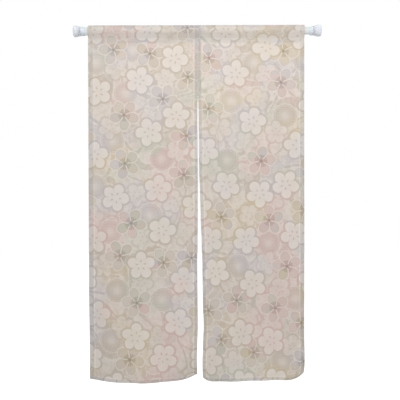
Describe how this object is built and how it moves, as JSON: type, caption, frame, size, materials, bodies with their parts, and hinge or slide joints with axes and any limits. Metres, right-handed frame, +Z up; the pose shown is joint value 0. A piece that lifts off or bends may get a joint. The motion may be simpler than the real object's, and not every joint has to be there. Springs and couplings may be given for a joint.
{
  "type": "noren curtain on a tension rod",
  "caption": "Printed cloth door curtain on a telescoping tension rod: rod pocket at the top, seamed above, slit below, hemmed all round, with bottom corners that curl back.",
  "frame": {"origin": "centre of the left bumper's wall face, on the rod's axis", "axes": "+X along the rod to the right wall, +Y to the back of the cloth, +Z up"},
  "size_m": [1.029, 0.0845, 1.4909],
  "materials": {
    "cloth": "matt slub weave, printed with small plum blossoms",
    "tube": "white coating, satin",
    "collar": "white with a blue cast, satin",
    "cap": "soft white with a lilac cast, matt"
  },
  "bodies": {
    "root": {"panel_left": "cloth", "panel_right": "cloth", "rod_outer_tube": "tube", "rod_inner_tube": "tube", "collar_left": "collar", "collar_right": "collar", "end_cap_left": "cap", "end_cap_right": "cap"}
  },
  "joints": []
}
